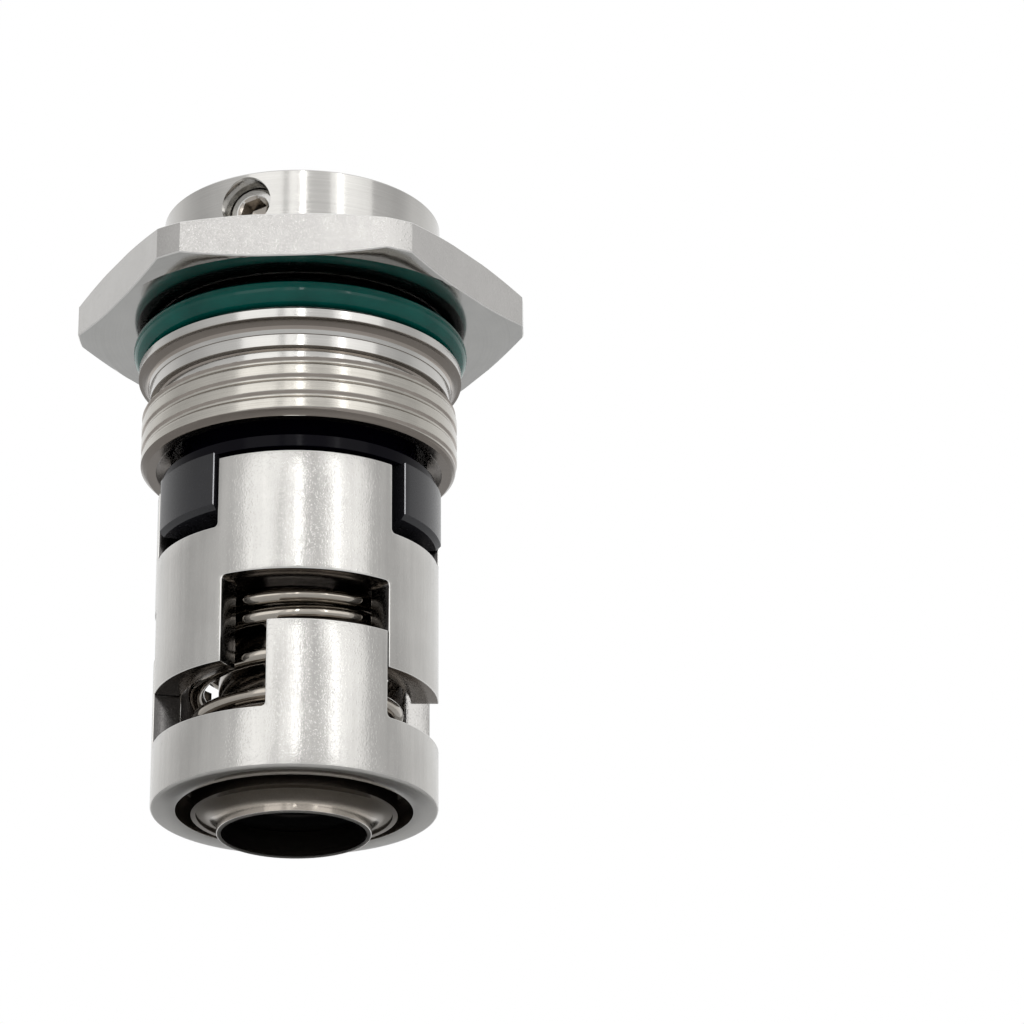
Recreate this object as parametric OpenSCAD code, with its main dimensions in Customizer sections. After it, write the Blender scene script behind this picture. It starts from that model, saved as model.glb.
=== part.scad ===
// Cartridge shaft seal for a vertical pump, in millimetres.
// The axis is Z. Z = 0 is the plane where the hex flange seats on the pump head.
// Angles in the sections below start at -Y and grow towards +X.

/* [Shaft sleeve] */
// Diameter of the pump shaft that passes through the seal
shaft_d = 16; // [14:0.5:17]
// Wall of the thin sleeve on the shaft
sleeve_wall = 0.6; // [0.4:0.1:0.9]
// Distance from the sleeve's upper end down from the top of the collar
sleeve_inset = 0.4; // [0.1:0.1:1]
// Section of the O-ring between the shaft and the sleeve
shaft_cord = 2.7; // [2:0.1:3]
// Wall of the pressed cup at the lower end of the sleeve
cup_wall = 0.55; // [0.4:0.05:0.8]
// Outer corner radius of the cup
cup_corner = 0.8; // [0.3:0.1:1.2]
// How far the lip of the cup stands past the end bush
cup_lip = 0.25; // [0.1:0.05:0.5]
// Thickness of the disc of the end bush
bush_disc_h = 0.5; // [0.4:0.1:1]
// Length of the end bush below its disc
bush_tail = 2.5; // [2:0.1:4]
// Wall of the end bush at its lower rim
bush_wall = 0.55; // [0.4:0.05:0.7]
// Radius of the trumpet curve of the end bush
bush_curve = 1.7; // [1:0.1:1.9]

/* [Lock collar] */
// Outer diameter of the collar
collar_d = 32; // [30:0.5:36]
// Height of the collar body
collar_h = 7.8; // [7.4:0.05:10]
// Height of the neck that carries the collar above the flange
collar_neck_h = 1.25; // [1:0.05:4]
// Diameter of that neck
collar_neck_d = 22; // [20.5:0.5:26]
// Chamfer on the edges of the collar
collar_chamfer = 0.2; // [0.2:0.1:0.5]
// How far the set screws sit above the middle of the collar
screw_rise = 0.2; // [0:0.1:0.4]
// Countersink at the mouth of a set screw's hole
screw_mouth = 0.2; // [0.1:0.05:0.4]
// Number of set screws
screw_count = 3; // [3]
// Thread diameter of the set screws
screw_d = 6; // [5:0.5:6]
// Length of a set screw
screw_l = 5; // [4:0.5:5.5]
// How far the screw's tip stands back from the shaft
screw_back = 0.8; // [0.7:0.1:1]
// Width across the flats of the screw's hex socket
screw_key = 3; // [2.5:0.5:3]
// Depth of that socket
screw_key_depth = 2.5; // [1.5:0.1:3]
// Angle of the first set screw
screw_angle = -24; // [-60:1:60]

/* [Seal carrier] */
// Width of the hex flange across its flats
hex_af = 46; // [44:0.5:55]
// Width of the hex flange across its turned corners
hex_corner_d = 51.4; // [50.2:0.1:52.4]
// Height of the hex flange
hex_h = 5.15; // [4:0.05:8]
// Height of the chamfer at the corners of the hex
hex_chamfer = 0.7; // [0.3:0.1:1.2]
// Angle of the front flat's normal
hex_angle = -5.3; // [-30:0.1:30]
// Depth of the neck behind the flange's O-ring, from the crest of the thread
neck_depth = 2; // [1.8:0.1:2.5]
// Gap between the O-ring and the edge of the relief round it
relief_clear = 0.35; // [0.2:0.05:0.6]
// Height of the relief inside the seating face
seat_relief = 0.05; // [0.05:0.05:0.3]
// Section of the O-ring under the flange
carrier_cord = 3.1; // [2.5:0.1:3.5]
// Height of the groove for that O-ring
carrier_groove_h = 4.2; // [3.8:0.1:5]
// Height of the land that holds the O-ring up
land_h = 1.2; // [1:0.05:2.5]
// How far that land stands out past the thread
land_step = 0.5; // [0.3:0.1:0.9]
// Height of the taper from the land to the narrow band
taper_h = 1.4; // [1:0.05:2.5]
// Height of the narrow band
band_h = 1.45; // [1:0.05:2.5]
// Depth of the narrow band, from the crest of the thread
band_depth = 0.85; // [0.6:0.05:1]
// Height of the undercut above the thread
undercut_h = 1.45; // [0.7:0.05:2]
// Depth of that undercut
undercut_depth = 1.35; // [1.2:0.05:1.6]
// Height of the threaded skirt
thread_h = 6.45; // [5:0.05:9]
// Height of the chamfer below the thread
skirt_chamfer = 0.65; // [0.4:0.05:0.9]
// Wall from the skirt's mouth to the crest of the thread
skirt_wall = 1.95; // [1.6:0.05:3]

/* [Seal faces] */
// Depth of the seal faces below the flange seat
face_depth = 12.65; // [12.2:0.05:14]
// Height of the wide part of the stationary seat
seat_wide_h = 3.5; // [2.5:0.1:3.8]
// Full height of the stationary seat
seat_h = 8.2; // [7:0.1:8.8]
// Section of the O-ring round the stationary seat
seat_cord = 2.6; // [2:0.1:2.8]
// Height of the seal ring's nose
nose_h = 5.7; // [5.2:0.1:8]
// Height of the raised face on the nose
nose_face_h = 0.8; // [0.4:0.1:1.5]
// How far the nose stands out past the hub
nose_rise = 1; // [0.6:0.1:1.4]
// Radial step from the nose down to its raised face
nose_step = 1; // [0.5:0.1:1.2]
// Height of the seal ring's flange
ring_flange_h = 1.3; // [1:0.1:2.5]
// Length of the seal ring's hub below the flange
hub_h = 10.4; // [10.1:0.1:14]
// Wall of the hub outside its O-ring
hub_wall = 1.2; // [0.8:0.1:2]
// Section of the O-ring between the seal ring and the sleeve
ring_cord = 2.5; // [2:0.1:2.8]
// Length of the driving lugs below the flange
lug_h = 6.35; // [4:0.05:7.4]
// Angle that a lug spans
lug_span = 38; // [25:0.1:39]
// Angle at the middle of the first lug
lug_angle = 65.6; // [65:0.1:66]
// Chamfer at the foot and the shoulder of a lug
lug_chamfer = 0.6; // [0.2:0.1:0.9]
// How much thicker the hub is between the lugs
lug_root = 0.15; // [0.1:0.05:0.2]

/* [Drive cage] */
// Wall of the cage and of the driver's tabs
cage_wall = 3.1; // [2.9:0.1:3.5]
// Gap between the top of a cage tab and the seal ring's flange
cage_tab_gap = 0.65; // [0.3:0.05:1.2]
// Length of the cage's upper tabs
cage_tab_h = 8.1; // [7.4:0.1:8.4]
// Angle that an upper tab spans
cage_tab_span = 74.4; // [70:0.1:77]
// Height of the web that pushes the seal ring
cage_web_h = 3.6; // [2.5:0.1:4.5]
// How far the slots start below the web
slot_drop = 0.6; // [0.2:0.1:2]
// Length of the cage's legs
leg_h = 10; // [8:0.1:10.5]
// Angle that a lower slot spans
slot_span = 70.6; // [65:0.1:75]
// Angle at the middle of the first slot and tab
cage_angle = 3.9; // [-30:0.1:30]
// Angle from the middle of a slot to the middle of the tab above
tab_offset = -0.6; // [-1:0.1:1]

/* [Driver ring and spring] */
// Wire diameter of the spring
wire_d = 1.8; // [1.2:0.1:2]
// Fitted length of the spring
spring_len = 16.35; // [15.8:0.05:20]
// Pitch of the closed turns at the ends of the spring
closed_pitch = 2; // [2:0.05:2.4]
// Closed turns at the lower end
closed_low = 1.1; // [1:0.1:1.5]
// Open turns of the spring
open_turns = 2; // [1.5:0.1:3]
// Closed turns at the upper end
closed_high = 1.5; // [1:0.1:1.6]
// Length of the driver's tabs
driver_tab_h = 9.95; // [7:0.05:10.2]
// Play between a leg of the cage and the driver's tabs, as an angle
driver_play = 20; // [5:0.5:25]
// Thickness of the driver's web under the spring
driver_web_h = 3.25; // [2:0.05:5]
// Height of the driver's skirt round the cup
driver_skirt_h = 3.7; // [2.5:0.05:4]
// Gap between the cup and the driver's skirt
driver_skirt_gap = 1.7; // [0.5:0.1:1.9]
// Chamfer on the lower edges of the driver
driver_chamfer = 0.3; // [0.1:0.1:0.6]

/* [Clearances] */
// Play round an O-ring in its groove
oring_clear = 0.05; // [0.02:0.01:0.1]
// Radial play of a tapped or pressed fit
fit_clear = 0.05; // [0.02:0.01:0.09]
// Radial gap where the moving ring passes over the sleeve or into the cage
slide_clear = 0.4; // [0.3:0.05:0.6]
// Radial gap between the sleeve and the fixed parts round it
turn_clear = 1; // [0.6:0.1:1.2]
// Gap round the small end of the stationary seat
seat_room = 0.2; // [0.1:0.05:0.4]
// How far the seal ring's flange lies inside the cage's outer face
ring_inset = 0.25; // [0.1:0.05:0.5]
// How far the seal ring's lugs stand out past the cage
lug_rise = 0.3; // [0.05:0.05:0.5]
// How much wider the carrier's mouth is than the cage
mouth_clear = 0.15; // [0.1:0.05:0.5]
// Gap between the nose of the seal ring and the carrier's bore
nose_gap = 1.2; // [0.8:0.1:1.4]
// Radial gap between the spring and the cage
spring_gap = 0.8; // [0.5:0.1:1]
// Angle between a leg of the cage and the tab that drives it
leg_touch = 0.6; // [0.3:0.1:1.5]

/* [Hidden] */
$fn = 128;

// Overlap that joins two solids of one piece cleanly
join = 0.5;
// Every crown of tabs, slots and lugs repeats three times
crown = 3;
crown_step = 360 / crown;

// Radii, worked out from the shaft outwards
bore_r = shaft_d / 2;
sleeve_r = bore_r + sleeve_wall;
web_bore_r = sleeve_r + slide_clear;
ring_groove_r = sleeve_r + ring_cord + 2 * oring_clear;
hub_r = ring_groove_r + hub_wall;
cage_in_r = hub_r + slide_clear;
cage_r = cage_in_r + cage_wall;
cut_r = cage_in_r - slide_clear / 2;
ring_r = cage_r - ring_inset;
lug_r = cage_r + lug_rise;
nose_r = hub_r + nose_rise;
chamber_r = nose_r + nose_gap;
mouth_r = cage_r + mouth_clear;
thread_r = mouth_r + skirt_wall;
land_r = thread_r + land_step;
neck_r = thread_r - neck_depth;
band_r = thread_r - band_depth;
undercut_r = thread_r - undercut_depth;
carrier_oring_r = neck_r + oring_clear + carrier_cord / 2;
relief_r = carrier_oring_r + carrier_cord / 2 + relief_clear;
seat_in_r = sleeve_r + turn_clear;
seat_out_r = chamber_r - fit_clear;
seat_small_r = chamber_r - seat_cord - 2 * oring_clear;
carrier_bore_r = seat_in_r + seat_room;
spring_r = cage_in_r - spring_gap - wire_d / 2;
cup_in_r = bore_r + shaft_cord + 3 * oring_clear;
cup_r = cup_in_r + cup_wall;
skirt_in_r = cup_r + driver_skirt_gap;
bush_r = bore_r + bush_wall;

// Heights above the flange seat
collar_z = hex_h + collar_neck_h;
top_z = collar_z + collar_h;
sleeve_top_z = top_z - sleeve_inset;
screw_z = collar_z + collar_h / 2 + screw_rise;

// Heights below it, from the O-ring's groove down to the rim of the end bush
land_z = -carrier_groove_h;
taper_z = land_z - land_h;
band_z = taper_z - taper_h;
undercut_z = band_z - band_h;
thread_z = undercut_z - undercut_h;
skirt_z = thread_z - thread_h;
carrier_z = skirt_z - skirt_chamfer;
face_z = -face_depth;
seat_step_z = face_z + seat_wide_h;
seat_groove_z = seat_step_z + seat_cord + 2 * oring_clear;
seat_top_z = face_z + seat_h;
flange_top_z = face_z - nose_h;
flange_z = flange_top_z - ring_flange_h;
lug_z = flange_z - lug_h - lug_chamfer / 2;
cage_top_z = flange_z - cage_tab_gap;
notch_z = cage_top_z - cage_tab_h;
web_top_z = flange_z - hub_h;
web_z = web_top_z - cage_web_h;
slot_z = web_z - slot_drop;
leg_z = slot_z - leg_h;
rim_z = web_z - spring_len;
driver_tab_z = rim_z + driver_tab_h;
cup_top_z = rim_z - driver_web_h;
driver_z = cup_top_z - driver_skirt_h;
cup_roof_z = cup_top_z - 0.6;
chamber_z = cup_roof_z - shaft_cord - 2 * oring_clear;
disc_z = chamber_z - bush_disc_h;
cup_z = disc_z - cup_lip;
bush_z = disc_z - bush_tail;

// Angles of the crowns
leg_span = crown_step - slot_span;
driver_tab_span = crown_step - leg_span - driver_play;
driver_angle = cage_angle + slot_span / 2 - leg_touch - driver_tab_span / 2;
cage_tab_angle = cage_angle + tab_offset;

function arc(cx, cy, r, a0, a1, n = 12) =
    [for (i = [0:n]) let (a = a0 + (a1 - a0) * i / n) [cx + r * cos(a), cy + r * sin(a)]];

// Cuts a ring into a crown: one gap on each side of the tab whose middle is at an angle
module crown_gaps(r_in, z0, z1, tab_middle, tab_span) {
    gap_span = crown_step - tab_span;
    for (i = [0:crown - 1])
        rotate([0, 0, tab_middle + tab_span / 2 + i * crown_step - 90])
            rotate_extrude(angle = gap_span)
                translate([r_in, z0]) square([cage_r + 1 - r_in, z1 - z0]);
}

module o_ring(r, cord, z) {
    translate([0, 0, z]) rotate_extrude() translate([r, 0]) circle(d = cord, $fn = 48);
}

// Lays a piece drawn along +Z out along the radius at an angle and height
module radial(angle, z) {
    rotate([0, 0, angle - 90]) translate([0, 0, z]) rotate([0, 90, 0]) children();
}

module hex_flange() {
    corner_r = hex_corner_d / 2;
    flat_r = hex_af / 2 + 0.2;
    intersection() {
        rotate([0, 0, hex_angle - 60])
            linear_extrude(hex_h) circle(d = hex_af / cos(30), $fn = 6);
        rotate_extrude() polygon([
            [0, 0], [flat_r, 0], [corner_r, hex_chamfer],
            [corner_r, hex_h - hex_chamfer], [flat_r, hex_h], [0, hex_h]]);
    }
}

module carrier_outside() {
    rotate_extrude() polygon([
        [0, carrier_z], [thread_r - skirt_chamfer, carrier_z], [thread_r, skirt_z],
        [thread_r, thread_z], [undercut_r, thread_z], [undercut_r, undercut_z],
        [band_r, undercut_z], [band_r, band_z], [land_r, taper_z], [land_r, land_z],
        [neck_r, land_z], [neck_r, join], [0, join]]);
}

module carrier_inside() {
    mouth_h = mouth_r - chamber_r;
    rotate_extrude() polygon([
        [0, carrier_z - 1], [mouth_r + 1, carrier_z - 1], [chamber_r, carrier_z + mouth_h],
        [chamber_r, seat_groove_z], [seat_small_r + seat_room, seat_groove_z],
        [seat_small_r + seat_room, seat_top_z + seat_room], [carrier_bore_r, seat_top_z + seat_room],
        [carrier_bore_r, hex_h + 1], [0, hex_h + 1]]);
}

module seal_carrier() {
    color("silver") difference() {
        union() {
            difference() {
                hex_flange();
                translate([0, 0, -1]) cylinder(r = relief_r, h = 1 + seat_relief);
            }
            carrier_outside();
        }
        carrier_inside();
    }
}

module carrier_o_ring() {
    color("darkgreen")
        o_ring(carrier_oring_r, carrier_cord, -(carrier_groove_h + seat_relief) / 2);
}

module stationary_seat() {
    color("dimgray") rotate_extrude() polygon([
        [seat_in_r, face_z], [seat_out_r, face_z], [seat_out_r, seat_step_z],
        [seat_small_r, seat_step_z], [seat_small_r, seat_top_z], [seat_in_r, seat_top_z]]);
}

module seat_o_ring() {
    color("darkgreen")
        o_ring(chamber_r - oring_clear - seat_cord / 2, seat_cord,
               seat_step_z + oring_clear + seat_cord / 2);
}

module seal_ring() {
    groove_h = ring_cord + 2 * oring_clear;
    color("#333336") difference() {
        rotate_extrude() polygon([
            [ring_groove_r, web_top_z], [hub_r, web_top_z], [hub_r, lug_z],
            [lug_r - lug_chamfer, lug_z], [lug_r, lug_z + lug_chamfer],
            [lug_r, flange_top_z - lug_chamfer], [lug_r - lug_chamfer, flange_top_z],
            [nose_r, flange_top_z], [nose_r, face_z - nose_face_h],
            [nose_r - nose_step, face_z - nose_face_h], [nose_r - nose_step, face_z],
            [seat_in_r + 0.6, face_z], [seat_in_r + 0.6, face_z - nose_face_h],
            [web_bore_r, face_z - nose_face_h], [web_bore_r, web_top_z + groove_h],
            [ring_groove_r, web_top_z + groove_h]]);
        crown_gaps(hub_r + lug_root, lug_z - 1, flange_z, lug_angle, lug_span);
        crown_gaps(ring_r, flange_z - 1, flange_top_z + 1, lug_angle, lug_span);
    }
}

module seal_ring_o_ring() {
    color("#1c1c1e")
        o_ring(sleeve_r + oring_clear + ring_cord / 2, ring_cord,
               web_top_z + oring_clear + ring_cord / 2);
}

module drive_cage() {
    color("lightgray") difference() {
        rotate_extrude() polygon([
            [web_bore_r, web_z], [cage_in_r, web_z], [cage_in_r, leg_z], [cage_r, leg_z],
            [cage_r, cage_top_z], [cage_in_r, cage_top_z], [cage_in_r, web_top_z],
            [web_bore_r, web_top_z]]);
        crown_gaps(cut_r, leg_z - 1, slot_z, cage_angle + crown_step / 2, leg_span);
        crown_gaps(cut_r, notch_z, cage_top_z + 1, cage_tab_angle, cage_tab_span);
    }
}

// Height of the wire's centre after u turns, counted from the lower end
turns = closed_low + open_turns + closed_high;
blend_turns = 0.3;
open_pitch = (spring_len - wire_d - 2 * oring_clear
              - closed_pitch * (closed_low + closed_high)) / open_turns;
function eased(u) =
    u < -blend_turns / 2 ? 0
    : u > blend_turns / 2 ? u
    : pow(u + blend_turns / 2, 2) / (2 * blend_turns);
function wire_z(u) =
    rim_z + oring_clear + wire_d / 2 + closed_pitch * u
    + (open_pitch - closed_pitch) * (eased(u - closed_low) - eased(u - closed_low - open_turns));

module spring() {
    steps_per_turn = 28;
    sides = 10;
    steps = round(turns * steps_per_turn);
    points = [for (i = [0:steps], j = [0:sides - 1])
        let (u = turns * i / steps, a = 90 + 360 * (u - turns), b = 360 * j / sides,
             r = spring_r + wire_d / 2 * cos(b))
        [r * cos(a), r * sin(a), wire_z(u) + wire_d / 2 * sin(b)]];
    skin = [for (i = [0:steps - 1], j = [0:sides - 1])
        let (k = (j + 1) % sides)
        [i * sides + j, i * sides + k, (i + 1) * sides + k, (i + 1) * sides + j]];
    ends = [[for (j = [sides - 1:-1:0]) j], [for (j = [0:sides - 1]) steps * sides + j]];
    color("gray") polyhedron(points, concat(skin, ends), convexity = 8);
}

module driver_ring() {
    color("lightgray") difference() {
        rotate_extrude() polygon([
            [sleeve_r + fit_clear, cup_top_z], [skirt_in_r, cup_top_z],
            [skirt_in_r, driver_z + driver_chamfer], [skirt_in_r + driver_chamfer, driver_z],
            [cage_r - driver_chamfer, driver_z], [cage_r, driver_z + driver_chamfer],
            [cage_r, driver_tab_z], [cage_in_r, driver_tab_z], [cage_in_r, rim_z],
            [sleeve_r + fit_clear, rim_z]]);
        crown_gaps(cut_r, rim_z, driver_tab_z + 1, driver_angle, driver_tab_span);
    }
}

module screw_holes(r) {
    for (i = [0:screw_count - 1])
        radial(screw_angle + i * 360 / screw_count, screw_z) cylinder(r = r, h = collar_d);
}

module shaft_sleeve() {
    color("gainsboro") difference() {
        rotate_extrude() polygon(concat(
            [[bore_r, sleeve_top_z], [bore_r, cup_roof_z], [cup_in_r, cup_roof_z],
             [cup_in_r, cup_z], [cup_r, cup_z]],
            arc(cup_r - cup_corner, cup_top_z - cup_corner, cup_corner, 0, 90),
            [[sleeve_r, cup_top_z], [sleeve_r, sleeve_top_z]]));
        screw_holes(screw_d / 2 + 2 * fit_clear);
    }
}

module end_bush() {
    disc_r = cup_in_r - fit_clear;
    color("gainsboro") rotate_extrude() polygon(concat(
        [[bore_r, chamber_z], [bore_r, bush_z], [bush_r, bush_z]],
        arc(bush_r + bush_curve, disc_z - bush_curve, bush_curve, 180, 90),
        [[disc_r, disc_z], [disc_r, chamber_z]]));
}

module shaft_o_ring() {
    color("#1c1c1e")
        o_ring(bore_r + oring_clear / 2 + shaft_cord / 2, shaft_cord,
               chamber_z + oring_clear + shaft_cord / 2);
}

module lock_collar() {
    r = collar_d / 2;
    c = collar_chamfer;
    bore = sleeve_r + fit_clear;
    color("silver") difference() {
        rotate_extrude() polygon([
            [bore, hex_h], [collar_neck_d / 2, hex_h], [collar_neck_d / 2, collar_z],
            [r - c, collar_z], [r, collar_z + c], [r, top_z - c], [r - c, top_z],
            [bore, top_z]]);
        screw_holes(screw_d / 2);
        for (i = [0:screw_count - 1])
            radial(screw_angle + i * 360 / screw_count, screw_z)
                translate([0, 0, r - screw_mouth])
                    cylinder(r1 = screw_d / 2, r2 = screw_d / 2 + 2 * screw_mouth,
                             h = 2 * screw_mouth);
    }
}

module set_screw(i) {
    r = screw_d / 2 - fit_clear;
    tip = 0.8;
    edge = 0.4;
    color("gray") radial(screw_angle + (i - 1) * 360 / screw_count, screw_z)
        translate([0, 0, bore_r + screw_back])
            difference() {
                rotate_extrude() polygon([
                    [0, 0], [r - tip, 0], [r, tip], [r, screw_l - edge],
                    [r - edge, screw_l], [0, screw_l]]);
                translate([0, 0, screw_l - screw_key_depth])
                    cylinder(d = screw_key / cos(30), h = screw_key_depth + 1, $fn = 6);
            }
}

seal_carrier();
carrier_o_ring();
stationary_seat();
seat_o_ring();
seal_ring();
seal_ring_o_ring();
drive_cage();
spring();
driver_ring();
shaft_sleeve();
end_bush();
shaft_o_ring();
lock_collar();
set_screw(1);  // set_screw_1
set_screw(2);  // set_screw_2
set_screw(3);  // set_screw_3
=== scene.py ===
import math
from types import SimpleNamespace

import bmesh
import bpy
from mathutils import Matrix, Vector


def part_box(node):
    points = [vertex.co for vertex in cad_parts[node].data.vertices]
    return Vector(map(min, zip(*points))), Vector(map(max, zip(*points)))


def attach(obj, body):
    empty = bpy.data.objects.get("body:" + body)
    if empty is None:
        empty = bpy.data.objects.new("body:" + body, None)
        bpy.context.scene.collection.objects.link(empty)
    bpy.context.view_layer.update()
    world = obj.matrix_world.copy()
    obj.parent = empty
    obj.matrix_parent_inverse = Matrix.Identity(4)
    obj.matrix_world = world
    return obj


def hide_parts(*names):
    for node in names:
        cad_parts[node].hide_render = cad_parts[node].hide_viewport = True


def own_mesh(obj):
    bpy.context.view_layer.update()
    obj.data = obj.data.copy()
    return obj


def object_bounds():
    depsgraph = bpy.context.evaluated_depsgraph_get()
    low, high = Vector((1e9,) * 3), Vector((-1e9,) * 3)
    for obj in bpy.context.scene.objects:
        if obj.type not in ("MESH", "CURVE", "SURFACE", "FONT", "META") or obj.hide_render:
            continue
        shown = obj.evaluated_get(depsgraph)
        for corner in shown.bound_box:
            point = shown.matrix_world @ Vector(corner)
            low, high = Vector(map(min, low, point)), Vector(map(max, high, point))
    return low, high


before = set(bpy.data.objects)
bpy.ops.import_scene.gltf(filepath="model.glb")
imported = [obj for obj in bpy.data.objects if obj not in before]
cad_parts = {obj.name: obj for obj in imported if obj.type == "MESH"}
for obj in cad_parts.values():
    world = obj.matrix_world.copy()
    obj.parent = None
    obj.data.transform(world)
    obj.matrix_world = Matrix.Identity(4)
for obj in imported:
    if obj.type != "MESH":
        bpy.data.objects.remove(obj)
CAD_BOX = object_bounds()
MM = 0.001

# Sizes in millimetres. Z = 0 is the underside of the hex flange, and angles are in
# degrees from -Y towards +X. Where a piece's box gives a place along Z, it comes from there.


def span_z(node):
    low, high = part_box(node)
    return low[2] / MM, high[2] / MM


def reach(node):
    low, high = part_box(node)
    return (high[0] - low[0]) / MM / 2


# Carrier
HEX_H = 5.15
HEX_AF = 46.0
HEX_CORNER_R = 25.7
HEX_FLAT_R = HEX_AF / 2 + 0.2
HEX_CHAMFER = 0.7
HEX_ANGLE = -5.3
NECK_R = 16.0
GROOVE_Z = -4.2
LAND_R = 18.5
LAND_Z = -5.4
BAND_R = 17.15
BAND_Z = -6.8
BAND_END_Z = -8.25
UNDERCUT_R = 16.35
THREAD_R = 18.0
THREAD_Z = -9.7
THREAD_PITCH = 2.0
SKIRT_Z = -16.15
SKIRT_END_R = 17.3
CARRIER_Z = span_z("seal_carrier")[0]
MOUTH_R = 16.05
CHAMBER_R = 14.6
SEAT_BORE_R = 12.1
SEAT_GROOVE_Z = -6.45
SEAT_TOP_Z = -4.25
CARRIER_BORE_R = 9.8

# Set screws
SCREW_Z = sum(span_z("set_screw_1")) / 2
SCREW_ANGLE = -24.0
SCREW_FOOT_R = 8.8

# Drive cage
LEG_Z, CAGE_TOP_Z = span_z("drive_cage")
CAGE_R = reach("drive_cage")
CAGE_IN_R = CAGE_R - 3.1
WEB_BORE_R = 9.0
WEB_Z = -33.65
WEB_TOP_Z = WEB_Z + 3.6
SLOT_Z = WEB_Z - 0.6
NOTCH_Z = CAGE_TOP_Z - 8.1
CAGE_ANGLE = 3.9
SLOT_SPAN = 70.6
LEG_SPAN = 120.0 - SLOT_SPAN
CAGE_TAB_ANGLE = 3.3
CAGE_TAB_SPAN = 74.4

# Lugs of the seal ring
LUG_R = 16.2
LUG_ANGLE = 65.6
LUG_SPAN = 38.0
LUG_CHAMFER = 0.6

# Driver ring
DRIVER_Z, DRIVER_TAB_Z = span_z("driver_ring")
RIM_Z = DRIVER_TAB_Z - 9.95
DRIVER_SKIRT_R = 13.1
DRIVER_BORE_R = 8.65
DRIVER_WEB_H = 3.25
DRIVER_TAB_SPAN = 50.6
DRIVER_ANGLE = CAGE_ANGLE + SLOT_SPAN / 2 - 0.6 - DRIVER_TAB_SPAN / 2

# Spring, with its closed, open and closed turns counted from the lower end
SPRING_LEN = WEB_Z - RIM_Z
SPRING_R = 11.1
WIRE_R = 0.9
LOW_TURNS = 1.1
OPEN_TURNS = 2.0
HIGH_TURNS = 1.5

# Rounding of the crowns' inner corners and bevel of the edges
ROOT_R = 0.5
EDGE = 0.12


# Meshes

def make_object(name, bm, materials, body, sharp=25):
    mesh = bpy.data.meshes.new(name)
    for face in bm.faces:
        face.smooth = True
    bm.to_mesh(mesh)
    bm.free()
    mesh.set_sharp_from_angle(angle=math.radians(sharp))
    for material in materials:
        mesh.materials.append(material)
    piece = bpy.data.objects.new(name, mesh)
    bpy.context.scene.collection.objects.link(piece)
    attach(piece, body)
    return piece


def place(r, angle, z):
    """A point in metres from a radius and a height in mm and an angle from -Y towards +X."""
    a = math.radians(angle)
    return Vector((r * math.sin(a), -r * math.cos(a), z)) * MM


def apart(a, b):
    return abs((a - b + 180) % 360 - 180)


def even_angles(count, exact=()):
    """Angles round the circle, with some exact ones in place of the nearest even ones."""
    step = 360 / count
    exact = [a % 360 for a in exact]
    even = [i * step for i in range(count) if all(apart(i * step, e) > 0.4 * step for e in exact)]
    return sorted(even + exact)


def value(v, angle):
    return v(angle) if callable(v) else v


def lathe(bm, rings, angles, capped=False):
    """Turns a profile. A ring's radius and height are numbers or functions of the angle."""
    rows = [[bm.verts.new(place(value(r, a), a, value(z, a))) for a in angles] for r, z in rings]
    pairs = list(zip(rows, rows[1:]))
    if capped:
        bm.faces.new(rows[0])
        bm.faces.new(rows[-1])
    else:
        pairs.append((rows[-1], rows[0]))
    for row, following in pairs:
        for i in range(len(angles)):
            j = (i + 1) % len(angles)
            bm.faces.new((row[i], row[j], following[j], following[i]))
    bmesh.ops.recalc_face_normals(bm, faces=bm.faces)


def crown_angles(edges, step=3.0):
    """Angles that hold every edge, with even steps between one edge and the next."""
    edges = sorted(e % 360 for e in edges)
    out = []
    for a, b in zip(edges, edges[1:] + [edges[0] + 360]):
        count = max(1, round((b - a) / step))
        out += [a + (b - a) * k / count for k in range(count)]
    return out


def middles(values):
    return [(a + b) / 2 for a, b in zip(values, values[1:])]


# The six sides of a cell: the neighbour across it and its corners, as steps in radius,
# height and angle
SIDES = (
    ((1, 0, 0), ((1, 0, 0), (1, 0, 1), (1, 1, 1), (1, 1, 0))),
    ((-1, 0, 0), ((0, 0, 0), (0, 1, 0), (0, 1, 1), (0, 0, 1))),
    ((0, 1, 0), ((0, 1, 0), (1, 1, 0), (1, 1, 1), (0, 1, 1))),
    ((0, -1, 0), ((0, 0, 0), (0, 0, 1), (1, 0, 1), (1, 0, 0))),
    ((0, 0, 1), ((0, 0, 1), (0, 1, 1), (1, 1, 1), (1, 0, 1))),
    ((0, 0, -1), ((0, 0, 0), (1, 0, 0), (1, 1, 0), (0, 1, 0))))


def polar_solid(radii, heights, angles, filled):
    """A solid of the cells between radii, heights and angles where filled(r, z, angle) is true."""
    bm = bmesh.new()
    n = len(angles)
    turns = middles(angles + [angles[0] + 360])
    cells = {(i, k, j)
             for i, r in enumerate(middles(radii))
             for k, z in enumerate(middles(heights))
             for j, angle in enumerate(turns) if filled(r, z, angle)}
    corners = {}

    def corner(i, k, j):
        key = (i, k, j % n)
        if key not in corners:
            corners[key] = bm.verts.new(place(radii[i], angles[j % n], heights[k]))
        return corners[key]

    for i, k, j in sorted(cells):
        for (di, dk, dj), face in SIDES:
            if (i + di, k + dk, (j + dj) % n) not in cells:
                bm.faces.new([corner(i + a, k + b, j + c) for a, b, c in face])
    bmesh.ops.recalc_face_normals(bm, faces=bm.faces)
    return bm


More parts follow.
